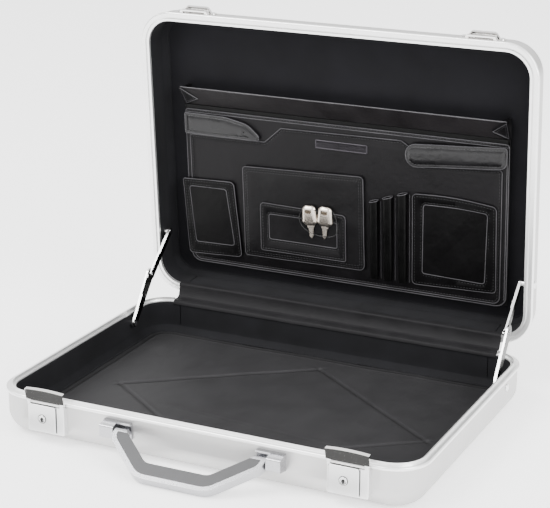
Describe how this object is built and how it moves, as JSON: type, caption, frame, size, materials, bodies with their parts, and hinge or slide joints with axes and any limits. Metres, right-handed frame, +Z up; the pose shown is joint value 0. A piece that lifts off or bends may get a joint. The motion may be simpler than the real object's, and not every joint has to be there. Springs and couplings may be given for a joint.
{
  "type": "laptop hard case",
  "caption": "Rectangular hard carrying case with rounded edges, open hinged lid, sliding-cover locks, drop handle, folding lid stays and a lid organizer.",
  "frame": {"origin": "middle of the flat bottom that the case rests on", "axes": "+Z up, +Y to the hinge side, +X to the right of someone who faces the handle"},
  "size_m": [0.45, 0.4163, 0.3833],
  "materials": {
    "tray_aluminium": "satin, lightly pebbled",
    "frame_aluminium": "polished extrusion",
    "lining": "dark padded cloth",
    "steel": "nickel plated",
    "chrome": "polished",
    "bright_steel": "polished",
    "cast_aluminium": "satin cast",
    "handle_pad": "soft touch",
    "stay_steel": "nickel plated",
    "leather": "black, semi gloss",
    "plate": "brushed",
    "film": "clear film",
    "brass_key": "nickel plated",
    "thread": "cotton"
  },
  "bodies": {
    "base": {"base_shell": "tray_aluminium", "base_frame": "frame_aluminium", "base_wall_liner": "lining", "floor_pad": "lining", "hinge_leaf_base": "steel", "hinge_pin": "steel", "hinge_flap": "leather", "base_studs": "steel", "lock_housing_left": "chrome", "lock_housing_right": "chrome", "hasp_pin_left": "bright_steel", "hasp_pin_right": "bright_steel", "handle_bracket_left": "cast_aluminium", "handle_bracket_right": "cast_aluminium", "handle_pins": "bright_steel", "stay_rivets_base": "bright_steel"},
    "lid": {"lid_shell": "tray_aluminium", "lid_frame": "frame_aluminium", "lid_wall_liner": "lining", "lid_top_liner": "lining", "hinge_leaf_lid": "steel", "lid_studs": "steel", "keeper_left": "chrome", "keeper_right": "chrome", "keeper_screws": "bright_steel", "organizer_panel": "leather", "file_pocket_front": "leather", "gusset_left": "leather", "gusset_right": "leather", "gusset_bottom": "leather", "centre_panel": "leather", "name_plate": "plate", "file_strap_left": "leather", "file_strap_right": "leather", "window_pocket_left": "leather", "window_pocket_right": "leather", "centre_pocket": "leather", "card_pocket": "leather", "pocket_windows": "film", "pen_sleeve_1": "leather", "pen_sleeve_2": "leather", "pen_sleeve_3": "leather", "keys": "brass_key", "key_thread": "thread", "stay_rivets_lid": "bright_steel"},
    "handle": {"handle_bow": "cast_aluminium", "handle_pad": "handle_pad"},
    "hasp_left": {"hasp_left": "chrome"},
    "slide_left": {"lock_slide_left": "chrome"},
    "key_left": {"key_cylinder_left": "bright_steel"},
    "stay_low_left": {"stay_lower_left": "stay_steel"},
    "stay_up_left": {"stay_upper_left": "stay_steel"},
    "hasp_right": {"hasp_right": "chrome"},
    "slide_right": {"lock_slide_right": "chrome"},
    "key_right": {"key_cylinder_right": "bright_steel"},
    "stay_low_right": {"stay_lower_right": "stay_steel"},
    "stay_up_right": {"stay_upper_right": "stay_steel"}
  },
  "joints": [
    {"name": "lid_hinge", "type": "hinge", "parent": "base", "child": "lid", "pos_m": [0, 0.169, 0.04565], "axis": [1, 0, 0], "range_deg": [0, 85.5], "deforming": ["hinge_flap"]},
    {"name": "stay_lower_left", "type": "hinge", "parent": "base", "child": "stay_low_left", "pos_m": [-0.2109, 0.096, 0.0335], "axis": [1, 0, 0], "range_deg": [0, 115.79]},
    {"name": "stay_upper_left", "type": "hinge", "parent": "lid", "child": "stay_up_left", "pos_m": [-0.2085, 0.17539, 0.11938], "axis": [1, 0, 0], "range_deg": [-115.79, 0]},
    {"name": "stay_lower_right", "type": "hinge", "parent": "base", "child": "stay_low_right", "pos_m": [0.2109, 0.096, 0.0335], "axis": [1, 0, 0], "range_deg": [0, 115.79]},
    {"name": "stay_upper_right", "type": "hinge", "parent": "lid", "child": "stay_up_right", "pos_m": [0.2085, 0.17539, 0.11938], "axis": [1, 0, 0], "range_deg": [-115.79, 0]},
    {"name": "handle_swing", "type": "hinge", "parent": "base", "child": "handle", "pos_m": [0, -0.1695, 0.0295], "axis": [1, 0, 0], "range_deg": [-102.5, 35]},
    {"name": "hasp_turn_left", "type": "hinge", "parent": "base", "child": "hasp_left", "pos_m": [-0.1596, -0.1668, 0.044], "axis": [-1, 0, 0], "range_deg": [0, 13], "stiffness_Nm_per_rad": 0.02},
    {"name": "slide_push_left", "type": "slide", "parent": "base", "child": "slide_left", "axis": [1, 0, 0], "range_m": [0, 0.006], "stiffness_N_per_m": 150},
    {"name": "key_turn_left", "type": "hinge", "parent": "slide_left", "child": "key_left", "pos_m": [-0.163, -0.169, 0.0274], "axis": [0, -1, 0], "range_deg": [0, 90]},
    {"name": "hasp_turn_right", "type": "hinge", "parent": "base", "child": "hasp_right", "pos_m": [0.1596, -0.1668, 0.044], "axis": [-1, 0, 0], "range_deg": [0, 13], "stiffness_Nm_per_rad": 0.02},
    {"name": "slide_push_right", "type": "slide", "parent": "base", "child": "slide_right", "axis": [1, 0, 0], "range_m": [0, 0.006], "stiffness_N_per_m": 150},
    {"name": "key_turn_right", "type": "hinge", "parent": "slide_right", "child": "key_right", "pos_m": [0.1562, -0.169, 0.0274], "axis": [0, -1, 0], "range_deg": [0, 90]}
  ],
  "couplings": [
    {"joint": "stay_lower_left", "follows": "lid_hinge", "ratio": 1.3541},
    {"joint": "stay_upper_left", "follows": "lid_hinge", "ratio": -1.3541},
    {"joint": "stay_lower_right", "follows": "lid_hinge", "ratio": 1.3541},
    {"joint": "stay_upper_right", "follows": "lid_hinge", "ratio": -1.3541}
  ]
}
